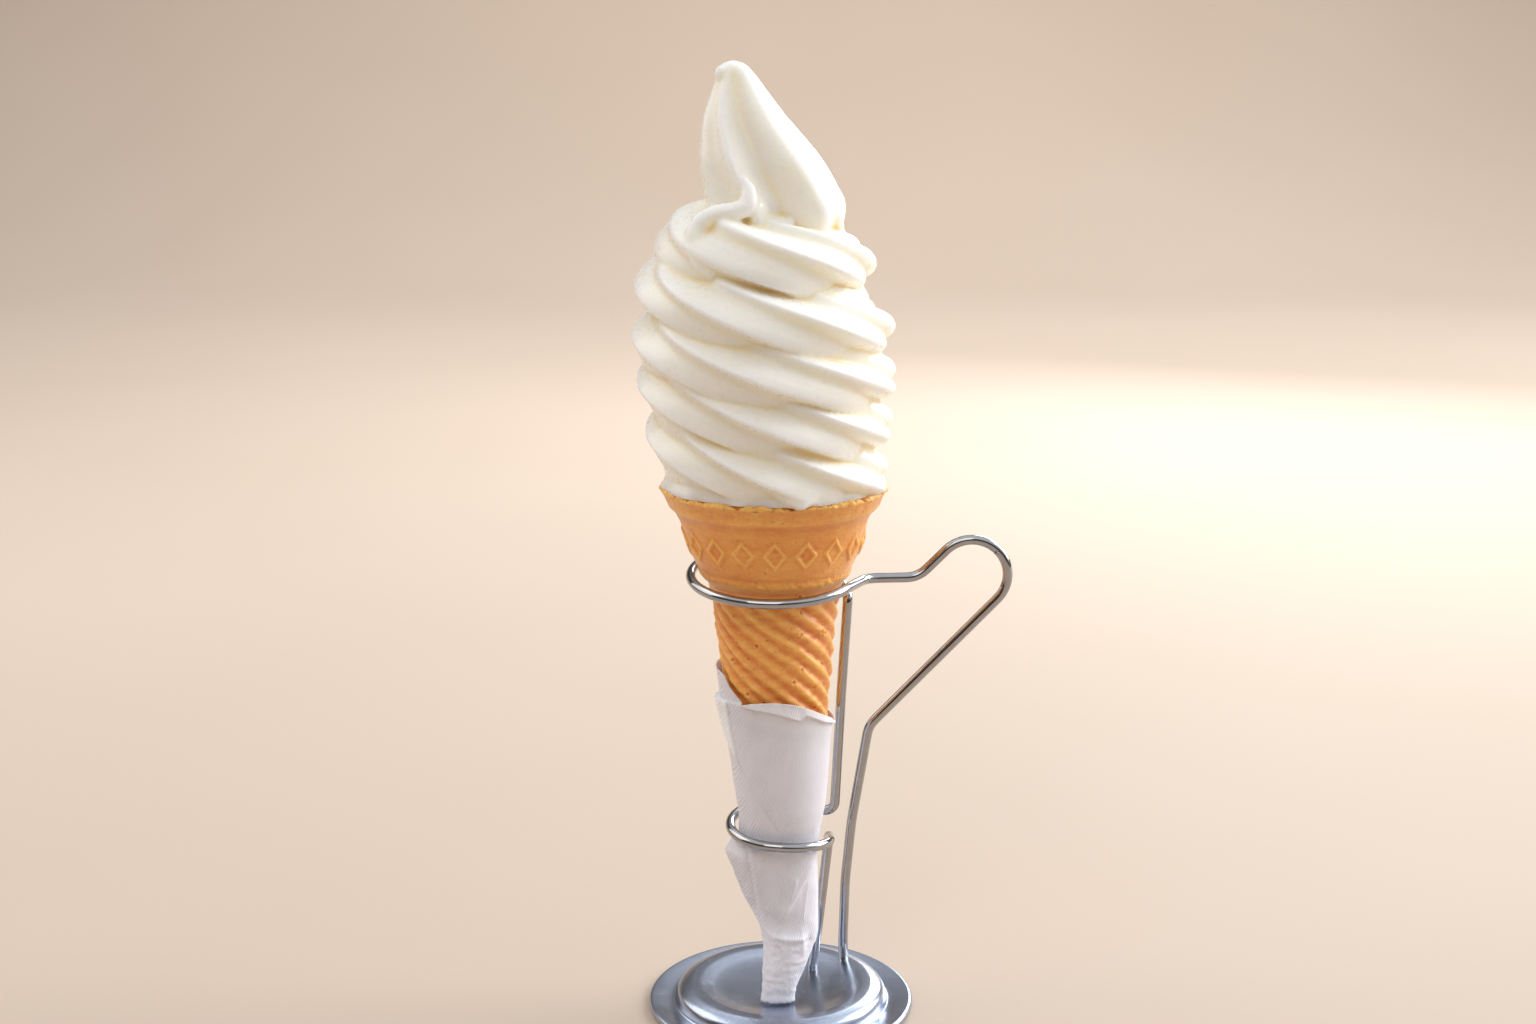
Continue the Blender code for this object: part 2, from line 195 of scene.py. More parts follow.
# %% Smooth values from a table
def through(rows, at):
    """Smooth values through rows of (place, value), which never swing past their extremes."""
    place, value = np.array(rows, float).T
    width = np.diff(place)
    slope = np.diff(value) / width
    tangent = np.zeros(len(place))
    tangent[0] = slope[0]
    tangent[-1] = slope[-1]
    for i in range(1, len(slope)):
        if slope[i - 1] * slope[i] > 0:
            before = 2 * width[i] + width[i - 1]
            after = width[i] + 2 * width[i - 1]
            tangent[i] = (before + after) / (before / slope[i - 1] + after / slope[i])
    at = np.clip(at, place[0], place[-1])
    i = np.clip(np.searchsorted(place, at) - 1, 0, len(width) - 1)
    t = (at - place[i]) / width[i]
    return (
        (1 + 2 * t) * (1 - t) ** 2 * value[i]
        + t * (1 - t) ** 2 * width[i] * tangent[i]
        + t**2 * (3 - 2 * t) * value[i + 1]
        + t**2 * (t - 1) * width[i] * tangent[i + 1]
    )


def column(table, wanted):
    """A table's first column with another one, as rows for through."""
    return [(row[0], row[wanted]) for row in table]


print("halfway on a smooth line from 0 to 10:", through(((0, 0), (1, 10)), 0.5))


# %% Skins and pieces
def skin(surfaces):
    """Points and faces of closed skins, each through an array of rings, in millimetres."""
    points, faces = [], []
    count = 0
    for rings in surfaces:
        rings = np.asarray(rings, float)
        rows, sides = rings.shape[:2]
        index = count + np.arange(rows * sides).reshape(rows, sides)
        near, far = index[:-1], index[1:]
        quads = np.stack([near, np.roll(near, -1, 1), np.roll(far, -1, 1), far], axis=2)
        points.append(rings.reshape(-1, 3))
        faces.extend(quads.reshape(-1, 4).tolist())
        faces.append(index[0][::-1].tolist())
        faces.append(index[-1].tolist())
        count += rows * sides
    return np.concatenate(points), faces


def piece(name, surfaces):
    """A smooth mesh object of closed skins, with every face turned outwards."""
    points, faces = skin(surfaces)
    mesh = bpy.data.meshes.new(name)
    mesh.from_pydata((points * MM).tolist(), [], faces)
    bm = bmesh.new()
    bm.from_mesh(mesh)
    bmesh.ops.recalc_face_normals(bm, faces=bm.faces)
    bm.to_mesh(mesh)
    bm.free()
    mesh.shade_smooth()
    made = bpy.data.objects.new(name, mesh)
    bpy.context.collection.objects.link(made)
    print(name, len(mesh.vertices), "points")
    return made


# %% What a mesh carries and measures
def carry(made, name, values):
    """Stores a number at each point of a mesh, for its material."""
    layer = made.data.attributes.new(name, "FLOAT", "POINT")
    layer.data.foreach_set("value", np.asarray(values, np.float32).ravel())


def points_of(made):
    """A mesh's points in millimetres, as an array."""
    flat = np.empty(len(made.data.vertices) * 3, np.float32)
    made.data.vertices.foreach_get("co", flat)
    return flat.reshape(-1, 3).astype(float) / MM


def cloudy(points, size, seed):
    """Smooth noise from about -1 to 1 at each point, with blobs of a size in millimetres."""
    shift = Vector((seed * 17.3, seed * 5.1, seed * 9.7))
    flat = np.asarray(points, float).reshape(-1, 3) / size
    values = [noise.fractal(Vector(point) + shift, 1.0, 2.0, 2) for point in flat]
    return np.array(values).reshape(np.asarray(points).shape[:-1])


def hollow(made, rounds):
    """How far each point lies under the mesh's own average surface, in millimetres; crests are negative."""
    mesh = made.data
    ends = np.empty(len(mesh.edges) * 2, np.int32)
    mesh.edges.foreach_get("vertices", ends)
    first, second = ends.reshape(-1, 2).T
    both = np.concatenate([first, second])
    other = np.concatenate([second, first])
    count = np.bincount(both, minlength=len(mesh.vertices))
    points = points_of(made)
    even = points.copy()
    for _ in range(rounds):
        sums = [np.bincount(both, even[other, axis], len(even)) for axis in range(3)]
        even = np.stack(sums, axis=1) / count[:, None]
    normals = np.empty(len(mesh.vertices) * 3, np.float32)
    mesh.vertices.foreach_get("normal", normals)
    return ((even - points) * normals.reshape(-1, 3)).sum(axis=1)


# %% Settling and dressing a piece
def settle(made):
    """Replaces a mesh by what its modifiers make of it."""
    graph = bpy.context.evaluated_depsgraph_get()
    mesh = bpy.data.meshes.new_from_object(made.evaluated_get(graph))
    made.modifiers.clear()
    made.data = mesh
    mesh.shade_smooth()


def dress(made, node):
    """Attaches a piece to the root body, and hides the imported node that it stands for."""
    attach(made, "root")
    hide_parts(node)


# %% [markdown]
# ## The swirl
#
# The nozzle of the machine is a six-pointed star, so the ice cream leaves it as a rope with six ridges.
# The hand that holds the cone moves it round while the nozzle keeps facing the same way. That is why
# the ridges slant across every coil, and why they meet the ridges of the next coil at a small kink. The
# rope is drawn turn by turn from the table: turn, height of its middle, reach of its ridges from the
# axis, and how far they are turned.

# %% The rope
RIDGES = 6
SWIRL = (
    (-0.75, 205.5, 18.0, -18.0),
    (-0.50, 203.5, 24.0, -18.0),
    (-0.25, 200.8, 27.9, -19.0),
    (0.00, 199.5, 28.3, -20.0),
    (0.25, 197.2, 28.2, -18.0),
    (0.50, 194.5, 32.0, -17.0),
    (1.00, 185.5, 33.0, -12.0),
    (2.00, 173.2, 34.2, 1.0),
    (3.00, 161.8, 32.8, -3.0),
    (4.00, 148.8, 31.6, -4.0),
    (4.75, 141.0, 28.0, -4.0),
)
ROPE_RADIUS = 12.6
ROPE_STEPS = 1500
ROPE_SIDES = 240
ROPE_GROOVE = ((-0.75, 0.10), (-0.25, 0.14), (0.0, 0.20), (1.5, 0.19), (3.0, 0.22), (4.75, 0.24))
ROPE_SQUASH = ((-0.75, 1.0), (-0.2, 0.92), (0.1, 0.78), (1.0, 0.76), (4.75, 0.76))
SWIRL_AXIS = ((-0.75, -2.5), (-0.25, -4.0), (1.0, -4.4), (2.5, -4.0), (4.0, -2.8), (4.75, -2.0))
SWIRL_TILT = ((-0.25, 0.0), (0.0, 0.6), (1.0, 1.8), (2.0, 2.4))
ROPE_ROUND = ((-0.75, 0.6), (0.3, 0.14), (4.75, 0.10))
TUCK = 2.6
TUCK_ANGLE = -42
RIDGE_LEAN = 0.2


def star(share, groove, ridge_round, lobe=0.0):
    """Radius of a star nozzle's outline: 1 on a ridge, where share is whole, and 1 - groove between two.

    A lobe of 0 gives sharp ridges between wide flutes, and 1 gives round ridges with narrow grooves.
    """
    away = np.abs((share + 0.5) % 1.0 - 0.5) * 2
    away = (np.sqrt(away**2 + ridge_round**2) - ridge_round) / (np.sqrt(1 + ridge_round**2) - ridge_round)
    return 1 - groove * ((1 - lobe) * (1 - (1 - away) ** 1.8) + lobe * away**2)


def rope_rings(steps, sides):
    """Rings of the rope along its falling turns, each turned so that the ridges keep facing one way."""
    turn = np.linspace(SWIRL[0][0], SWIRL[-1][0], steps)
    around = 2 * math.pi * turn
    outward = np.stack([np.sin(around), -np.cos(around), 0 * around], axis=1)
    middle = outward * (through(column(SWIRL, 2), turn) - ROPE_RADIUS)[:, None]
    middle[:, 0] += through(SWIRL_AXIS, turn)
    middle[:, 2] = through(column(SWIRL, 1), turn) - through(SWIRL_TILT, turn) * np.sin(around)
    along = np.linspace(0, 2 * math.pi, sides, endpoint=False)
    sway = 2.6 * np.sin(around * 1.37 + 0.6) + 1.8 * np.sin(around * 2.9)
    angle = (np.radians(through(column(SWIRL, 3), turn) + sway) - around)[:, None] + along
    groove, ridge_round = (through(table, turn)[:, None] for table in (ROPE_GROOVE, ROPE_ROUND))
    right = (np.maximum(np.sin(around), 0) ** 3)[:, None]
    left = (np.maximum(-np.sin(around), 0) ** 3)[:, None]
    lobe = 0.9 * right + 0.4 * left
    groove = groove + 0.05 * lobe
    outline = star(along * RIDGES / (2 * math.pi), groove, ridge_round, lobe)
    angle = angle - RIDGE_LEAN * (1 - right) * ((outline - 1) / groove + 0.5)
    radius = ROPE_RADIUS * outline
    under = (angle - math.radians(TUCK_ANGLE) + math.pi) % (2 * math.pi) - math.pi
    radius = radius - (TUCK * right + 0.5 * TUCK * left) * np.exp(-((under / 0.5) ** 2))
    swell = 0.18 * np.sin(around * 3.3 + 1.0) + 0.12 * np.sin(around * 7.1)
    radius = radius + swell[:, None] * np.cos(along * 2 + 0.4) + 0.04 * np.sin(along * 41)
    rings = middle[:, None, :] + (radius * np.cos(angle))[:, :, None] * outward[:, None, :]
    rings[:, :, 2] += radius * np.sin(angle) * through(ROPE_SQUASH, turn)[:, None]
    return rings


rope = rope_rings(ROPE_STEPS, ROPE_SIDES)
print("rope", rope.shape, "from", rope[..., 2].min().round(1), "to", rope[..., 2].max().round(1), "mm")

# %% [markdown]
# ## The peak
#
# When the machine stops, the cone is drawn away and the rope is pulled to a point. It keeps its six
# ridges while it thins, leans to the left and ends in a small rounded nub. Its foot is wider than what
# it stands on, so it overhangs the last coil. The ridge in front is bent to the left as it rises, and
# the flutes beside it are deepest close to it. The tables give height, radius and sideways lean, the
# depth of each flute and how round each ridge is, and the bend in degrees.

# %% The peak
PEAK = (
    (203.2, 12.0, -0.6),
    (204.3, 14.2, -0.8),
    (206.0, 16.4, -0.9),
    (208.5, 17.4, -1.0),
    (212.0, 17.9, -1.3),
    (216.5, 17.1, -2.6),
    (223.0, 15.6, -5.0),
    (228.0, 13.3, -6.9),
    (234.0, 10.2, -9.1),
    (240.0, 6.8, -10.4),
    (244.0, 4.5, -11.2),
    (246.3, 2.7, -11.9),
    (247.1, 0.3, -12.0),
)
PEAK_STEPS = 220
PEAK_SIDES = 240
PEAK_GROOVES = (0.33, 0.24, 0.24, 0.24, 0.24, 0.10)
PEAK_ROUNDS = (0.12, 0.12, 0.2, 0.2, 0.2, 0.5)
LEANING = 1.5
PEAK_TURN = (-13.0, -19.0)
FRONT_BEND = ((203, 2), (210, -3), (215, -5), (220.5, -11.5), (227, -15), (232, -17), (238, -18), (247, -12))


def peak_rings(steps, sides):
    """Level rings of the peak, from its foot to its tip, where the flutes fade out."""
    heights = np.array(PEAK)[:, 0]
    height = through(list(enumerate(heights)), np.linspace(0, len(heights) - 1, steps))
    fade = np.clip((heights[-1] - height) / 4.5, 0, 1)
    ridge_turn = np.radians(np.interp(height, heights[[0, -1]], PEAK_TURN))
    along = np.linspace(0, 2 * math.pi, sides, endpoint=False)
    share = along * RIDGES / (2 * math.pi)
    flute = share.astype(int)
    ridge = np.round(share).astype(int) % RIDGES
    groove = np.array(PEAK_GROOVES)[flute] * fade[:, None]
    inside = share - flute
    share = np.where(flute == 0, 1 - (1 - inside) ** LEANING, share)
    share = np.where(flute == RIDGES - 1, flute + inside**LEANING, share)
    radius = through(column(PEAK, 1), height)[:, None] * star(share, groove, np.array(PEAK_ROUNDS)[ridge])
    from_front = (along + math.pi) % (2 * math.pi) - math.pi
    bend = np.radians(through(FRONT_BEND, height))[:, None] * np.exp(-((from_front / 0.8) ** 2))
    angle = ridge_turn[:, None] + along + bend
    x = through(column(PEAK, 2), height)[:, None] + radius * np.sin(angle)
    z = np.broadcast_to(height[:, None], x.shape)
    return np.stack([x, -radius * np.cos(angle), z], axis=2)


peak = peak_rings(PEAK_STEPS, PEAK_SIDES)
print("peak", peak.shape, "tip at", peak[-1].mean(axis=0).round(1), "mm")

# %% [markdown]
# ## A round tube and a turned shape
#
# Two more kinds of skin: a tube along a line, carried without twisting, and a profile turned about an
# axis. The cone leans a little to the left and backwards in its rings, so its axis is a slanting line.


# %% Tubes and turned shapes
def tube_rings(points, radius, sides):
    """Rings of a round tube, whose radius is one number or a number for each point."""
    points = [Vector(point) for point in points]
    radii = np.broadcast_to(radius, len(points))
    ahead = (points[1] - points[0]).normalized()
    side = ahead.orthogonal().normalized()
    angles = [2 * math.pi * step / sides for step in range(sides)]
    rings = []
    for i, point in enumerate(points):
        now_ahead = (points[min(i + 1, len(points) - 1)] - points[max(i - 1, 0)]).normalized()
        side = (ahead.rotation_difference(now_ahead) @ side).normalized()
        ahead = now_ahead
        up = ahead.cross(side)
        rings.append([point + float(radii[i]) * (math.cos(a) * side + math.sin(a) * up) for a in angles])
    return rings


def turned(profile, axis, sides):
    """Rings of a profile of (radius, height), turned about an axis that is given as (x, y) by height."""
    angle = np.linspace(0, 2 * math.pi, sides, endpoint=False)
    rings = []
    for radius, height in profile:
        x, y = axis(height)
        ring = [x + radius * np.sin(angle), y - radius * np.cos(angle), 0 * angle + height]
        rings.append(np.stack(ring, axis=1))
    return rings


def cone_axis(height):
    """Where the cone's leaning axis is at a height."""
    return (0.07 - 0.0143 * height, -1.08 + 0.0154 * height)


# %% [markdown]
# ## Joining the swirl
#
# Rope, peak and core overlap each other. A voxel remesh turns them into one skin, as if they had been
# cast, and a few smoothing steps take away its tiny stairs. Short tubes of changing thickness add what
# a formula for a rope does not give: the curl that the lifting nozzle leaves at the foot of the peak,
# the nub at its tip, and the tongue that hangs over the lip in front. A turned cover lies on the lip,
# where the lowest coil has spread, and its edge is made a little wavy. What would reach below the lip
# is pressed flat on it. Each tube's table gives its places and its radius; the tongue's gives reach
# from the axis, angle in radians, height and radius.

# %% What joins the rope
RIM_TOP = 141.7
CORE = ((139, 22.5), (146, 26.3), (162, 28.4), (178, 28.6), (190, 25.2), (199, 20), (205, 11))
CORE_AXIS = -3.6
CURL = (
    (-9.6, -14.2, 219.4, 1.0),
    (-7.9, -15.3, 216.2, 1.9),
    (-8.0, -16.0, 213.4, 2.3),
    (-10.9, -16.5, 211.8, 2.3),
    (-16.0, -16.4, 210.9, 2.3),
    (-19.6, -16.4, 208.6, 2.5),
    (-21.0, -17.4, 205.0, 2.5),
    (-20.0, -19.6, 200.6, 2.1),
    (-16.4, -21.6, 196.8, 1.4),
)
NUB = ((-14.5, -1.6, 241.9, 1.1), (-14.9, -2.0, 243.8, 1.6), (-14.0, -2.0, 245.2, 1.5))
FOOT = ((-10.5, -11.0, 206.3, 3.2), (-4.5, -12.3, 206.5, 4.2), (2.5, -12.0, 206.0, 3.6))
DRIP = (
    (25.8, -0.18, 149.6, 1.6),
    (27.2, -0.05, 147.2, 1.9),
    (28.3, 0.08, 145.0, 2.0),
    (28.9, 0.17, 143.2, 1.7),
    (29.3, 0.215, 142.0, 1.2),
    (28.9, 0.27, 142.8, 1.5),
    (28.2, 0.40, 144.0, 1.4),
    (27.0, 0.58, 145.6, 1.1),
)
LIP_COVER = ((28.4, 139.5), (28.4, 142.2), (27.6, 144.2), (25.8, 147.5))
BEAD_SIDES = 24
VOXEL = 0.5
print("the lip is", RIM_TOP, "mm high and the ice cream's core starts at", CORE[0][0], "mm")


# %% The soft serve
def make_soft_serve():
    core = turned([(radius, height) for height, radius in CORE], lambda height: (CORE_AXIS, 0.0), 64)
    plug = turned(LIP_COVER, cone_axis, 96)
    x_middle, y_middle = cone_axis(RIM_TOP)
    reach, around, height, thick = zip(*DRIP)
    drip = zip(x_middle + reach * np.sin(around), y_middle - reach * np.cos(around), height, thick)
    beads = []
    for bead in (CURL, NUB, FOOT, tuple(drip)):
        at = np.linspace(0, len(bead) - 1, 8 * len(bead))
        x, y, z, radius = (through(list(enumerate(values)), at) for values in zip(*bead))
        beads.append(tube_rings(list(zip(x, y, z)), radius, BEAD_SIDES))
    swirl = piece("soft_serve", [rope, peak, core, plug, *beads])
    remesh = swirl.modifiers.new("join", "REMESH")
    remesh.mode = "VOXEL"
    remesh.voxel_size = VOXEL * MM
    smooth = swirl.modifiers.new("soften", "SMOOTH")
    smooth.factor = 0.5
    smooth.iterations = 4
    settle(swirl)
    points = points_of(swirl)
    aside = points[:, :2] - (x_middle, y_middle)
    around = np.arctan2(aside[:, 0], -aside[:, 1])
    reach = np.hypot(*aside.T)
    low = np.clip((145 - points[:, 2]) / 3, 0, 1) * np.clip((reach - 24) / 3, 0, 1)
    wavy = 0.35 * np.sin(5 * around + 1) + 0.25 * np.sin(12 * around) + 0.15 * np.sin(23 * around + 2)
    points[:, :2] += (low * wavy / reach)[:, None] * aside
    floor = RIM_TOP - 0.2 - 1.3 * np.clip((reach - 28.3) / 0.8, 0, 1)
    points[:, 2] = np.where(points[:, 2] < floor, floor + (points[:, 2] - floor) * 0.02, points[:, 2])
    swirl.data.vertices.foreach_set("co", (points * MM).ravel())
    swirl.data.update()
    # Painted shade and highlight: the colour is yellower in grooves and whiter on crests, by this depth.
    depth = hollow(swirl, 40)
    carry(swirl, "hollow", depth)
    print("hollow shares", np.percentile(depth, (5, 25, 50, 75, 90, 97)).round(2))
    print("soft serve", len(swirl.data.polygons), "faces, hollows to", depth.max().round(2), "mm")
    return swirl


soft_serve = make_soft_serve()
dress(soft_serve, "soft_serve")

# %% [markdown]
# ## Ice cream
#
# Soft ice cream is a pale, slightly wet foam. Light enters it and leaves it a few millimetres on, which
# makes its grooves look creamy instead of grey. So the shader has subsurface light and a thin wet coat.
# Its colour also carries painted shade, a little yellower in the grooves, and a painted highlight, a
# little whiter on the crests. How deep a point lies in a groove is measured on the mesh.


# %% Ice cream finish
def ice_cream():
    finish = Finish(
        "ice_cream",
        Subsurface_Weight=0.5,
        Subsurface_Radius=(1.0, 0.8, 0.5),
        Subsurface_Scale=0.006,
        IOR=1.36,
        Coat_Roughness=0.1,
    )
    hollow_by = finish.attribute("hollow")
    # Painted shade: yellower in the grooves, and deeper yellow in the deepest ones.
    groove_shade = hollow_by.between(0.05, 0.7)
    depth = hollow_by.between(0.45, 1.05)
    # Painted highlight: whiter on the crests.
    crest_highlight = (hollow_by * -1).between(0.1, 0.7)
    cloud = finish.noise(7.0, 2.0)
    grain = finish.noise(0.35, 4.0, 0.65)
    # Random clouds, and a painted highlight that makes the crests whiter.
    body = finish.mix(cloud * 0.5 + crest_highlight * 0.5, rgb(249, 241, 228), rgb(254, 252, 248))
    # Painted shade that makes the grooves yellower.
    soft = finish.mix(groove_shade * 0.7, body, rgb(252, 240, 210))
    color = finish.mix(depth * 0.85, soft, rgb(255, 224, 152))
    normal = finish.bump(grain, 0.04, 0.5, finish.bump(finish.noise(2.6, 3.0), 0.10, 0.6))
    return finish.wear(
        Base_Color=color,
        Roughness=0.22 + grain * 0.22,
        Coat_Weight=0.15 + finish.noise(1.1, 2.0).between(0.55, 0.68) * 0.8,
        Normal=normal,
    )


soft_serve.data.materials.append(ice_cream())

# %% [markdown]
# ## The wafer cone
#
# The cone is baked in a two-part mould. The mould gives it a flared lip, a step, a cup with a raised
# pattern, a bead that the ring of the holder carries, and a long foot with slanting ribs. Steam leaves
# small pits and blisters. All of this is real relief here: the turned profile is drawn on a fine grid,
# and each relief is a height that is added to the radius.

# %% The cone's wall
CONE_WALL = (
    (141.7, 27.9),
    (141.5, 28.6),
    (140.8, 28.9),
    (140.0, 28.5),
    (138.6, 27.8),
    (137.0, 27.1),
    (136.2, 26.6),
    (135.4, 25.7),
    (134.3, 24.9),
    (131.6, 23.8),
    (129.9, 23.2),
    (127.5, 22.6),
    (125.0, 21.8),
    (122.6, 20.8),
    (121.2, 20.2),
    (120.5, 19.85),
    (119.6, 19.75),
    (118.6, 19.35),
    (117.6, 18.5),
    (116.4, 17.3),
    (110.0, 16.45),
    (85.0, 13.85),
    (80.0, 13.3),
    (76.0, 12.3),
    (50.0, 9.2),
    (30.0, 6.4),
    (27.3, 4.2),
    (26.6, 1.0),
)
RIB_PITCH = 4.8
RIB_STARTS = 15
RIB_DEPTH = 0.45
LOZENGES = 18
LOZENGE_MIDDLE = 127.6
BUBBLES = 380
CONE_SIDES = 460
CONE_FOOT = 26.6
SHOWN_FROM = 78.0
FINE_ROW = 0.34
HIDDEN_ROW = 1.5


def lozenge_relief(angle, height):
    """Raised lozenges round the cup, each with a sunk middle."""
    share = angle / (2 * math.pi) * LOZENGES
    across = np.abs(share - np.round(share)) * 2 / 0.86
    upward = np.abs(height - LOZENGE_MIDDLE) / 4.3
    away = across + upward
    rim = np.clip((1.0 - away) / 0.22, 0, 1)
    well = np.clip((0.70 - away) / 0.24, 0, 1)
    return rim**2 * (3 - 2 * rim) - 1.1 * well**2 * (3 - 2 * well)


def bubble_relief(angle, height, radius):
    """Burst bubbles: small craters with a raised rim, at scattered places on the wall."""
    relief = np.zeros(height.shape)
    scatter = np.random.default_rng(7)
    for _ in range(BUBBLES):
        at_angle = scatter.uniform(0, 2 * math.pi)
        at_height = scatter.uniform(80, 140.5)
        size = scatter.uniform(0.25, 0.75) ** 1.3 * (1.0 if at_height < 116 else 0.6)
        rows = np.abs(height[:, 0] - at_height) < 3 * size
        columns = np.abs((angle[0] - at_angle + math.pi) % (2 * math.pi) - math.pi) < 3 * size / 14
        window = np.ix_(rows, columns)
        turn = (angle[window] - at_angle + math.pi) % (2 * math.pi) - math.pi
        away = np.hypot(turn * radius[window], height[window] - at_height) / size
        rim = 0.40 * np.exp(-(((away - 1.15) / 0.45) ** 2))
        relief[window] += size * (rim - 0.75 * np.exp(-((away / 0.7) ** 2)))
    return relief


# %% The cone
def make_cone():
    shown_rows = np.arange(RIM_TOP, SHOWN_FROM, -FINE_ROW)
    hidden_rows = np.arange(SHOWN_FROM, CONE_FOOT, -HIDDEN_ROW)
    heights = np.concatenate([shown_rows, hidden_rows, [CONE_FOOT]])
    radius = through(CONE_WALL[::-1], heights)
    angle = np.linspace(0, 2 * math.pi, CONE_SIDES, endpoint=False)
    height = np.repeat(heights[:, None], CONE_SIDES, axis=1)
    around = np.repeat(angle[None, :], len(heights), axis=0)
    flat = np.repeat(radius[:, None], CONE_SIDES, axis=1)
    place = np.stack([flat * np.sin(around), -flat * np.cos(around), height], axis=2)
    uneven = cloudy(place, 8.0, 1)
    fine = cloudy(place, 0.9, 2)
    bulge = cloudy(place, 3.0, 4)
    shown = np.clip((height - 80) / 3, 0, 1)
    rib_zone = np.clip((115.5 - height) / 2.5, 0, 1)
    cup_zone = np.clip((height - 121.5) / 1.0, 0, 1) * np.clip((134.5 - height) / 1.0, 0, 1)
    lip_zone = np.clip((height - 140.0) / 0.9, 0, 1)
    band_zone = np.clip((height - 135.5) / 1.0, 0, 1)
    bead_zone = np.clip(1 - np.abs(height - 119.2) / 1.8, 0, 1)
    rib_turn = height / RIB_PITCH + around / (2 * math.pi) * RIB_STARTS + 0.10 * uneven
    wave = np.cos(2 * math.pi * rib_turn)
    cross = np.cos(2 * math.pi * (height / 3.1 - around / (2 * math.pi) * 9))
    ribs = wave * (0.9 + 0.5 * uneven) + 0.12 * cross + 0.22 * bulge - 1.5
    lozenges = lozenge_relief(around, height)
    bubbles = bubble_relief(around, height, flat)
    relief = (
        RIB_DEPTH * rib_zone * ribs
        + 0.55 * cup_zone * lozenges * (0.8 + 0.5 * uneven)
        + 0.15 * uneven
        + (0.04 + 0.15 * bead_zone + 0.06 * band_zone + 0.45 * lip_zone) * fine
        + (0.15 * band_zone + 0.4 * lip_zone) * bulge
        + 0.10 * bead_zone * (0.5 + bulge) * np.sin(46 * around + 2.2 * height + 6 * uneven)
        + bubbles
    ) * shown
    x, y = cone_axis(height)
    r = flat + relief
    rise = lip_zone * (0.7 * fine + 0.9 * bulge - 0.2)
    rings = np.stack([x + r * np.sin(around), y - r * np.cos(around), height + np.minimum(rise, 0)], axis=2)
    lip = ((26.6, RIM_TOP - 2.5), (26.6, RIM_TOP - 2.4), (26.9, RIM_TOP - 1.0), (27.3, RIM_TOP - 0.2))
    inner = np.array(turned(((1.0, RIM_TOP - 2.5), *lip), cone_axis, CONE_SIDES))
    made = piece("cone", [np.concatenate([inner, rings])])
    # How deep each point lies, for painted shade: the wafer is coloured darker brown in its hollows.
    depth = hollow(made, 12)
    # The rim and the inside of the lip are darker brown, and the band below the rim a little paler.
    outer_toast = lip_zone * (1 + 1.2 * fine) - 0.1 * band_zone
    lip_toast = 0.45 * np.concatenate([np.ones(inner.shape[:2]), outer_toast])
    toast_and_shade = 0.45 + 1.5 * depth + lip_toast.ravel()
    carry(made, "toast_and_shade", toast_and_shade)
    print("relief from", relief.min().round(2), "to", relief.max().round(2), "mm")
    return made


cone = make_cone()
dress(cone, "cone")

# %% [markdown]
# ## Baked wafer
#
# The colour is darker brown in the hollows of the relief, which is painted shade, and on the rim, so the
# mesh carries a number for how dark each point is. Fine freckles and a rough, thin bump do the rest. A
# little light passes through the wafer, and a faint sheen, as of flour dust, makes it pale where light
# grazes it.


# %% Wafer finish
def wafer():
    finish = Finish(
        "wafer",
        Subsurface_Weight=0.3,
        Subsurface_Radius=(1.0, 0.5, 0.2),
        Subsurface_Scale=0.003,
        Specular_IOR_Level=0.7,
        Sheen_Weight=0.3,
        Sheen_Roughness=0.35,
        Sheen_Tint=(1.0, 0.93, 0.84, 1.0),
    )
    # Darker brown in the hollows, which is painted shade, and on the rim.
    toast_and_shade = finish.attribute("toast_and_shade")
    freckle = finish.noise(0.7, 4.0, 0.7)
    cloud = finish.noise(9.0, 3.0)
    streak = finish.noise(1.6, 3.0, 0.6, finish.stretched(0.35, 0.35, 1.8))
    speck = finish.noise(0.9, 3.0, 0.6, finish.stretched(0.6, 0.6, 1.5)).between(0.66, 0.74)
    amount = (toast_and_shade * 0.9 + cloud * 0.6 + freckle * 0.16 + streak * 0.6 - 0.72).clamped()
    pale = finish.mix(freckle.between(0.3, 0.8), rgb(255, 198, 104), rgb(253, 172, 70))
    body = finish.mix(amount, pale, rgb(216, 100, 12))
    color = finish.mix(speck * 0.45, body, rgb(138, 66, 18))
    grain = finish.noise(0.45, 5.0, 0.7)
    pits = finish.bump(speck * -1, 0.25, 0.9, finish.bump(streak, 0.35, 0.7))
    return finish.wear(
        Base_Color=color,
        Roughness=0.28 + grain * 0.28,
        Normal=finish.bump(grain, 0.06, 0.6, pits),
    )


cone.data.materials.append(wafer())

# %% [markdown]
# ## The paper sleeve
#
# A square of thin paper is rolled round the foot of the cone. Its first turn stands up in a corner at
# the back left and runs down across the left side. The second turn lies over it: its top edge is turned
# down in a narrow hem, and its free edge runs slanting down the left as a folded strip. The lower ring
# gathers the paper into a flap, and under it the roll is pressed into a flat tail with a torn end.
# SLEEVE gives, for each height, the left edge, the right edge, half the depth and the middle of the
# depth. FOLDS gives each crease by its two ends, how far it stands out and how wide it is below and
# above. Where the paper lies double it lets less light through, so the mesh carries a number that makes
# it whiter there.

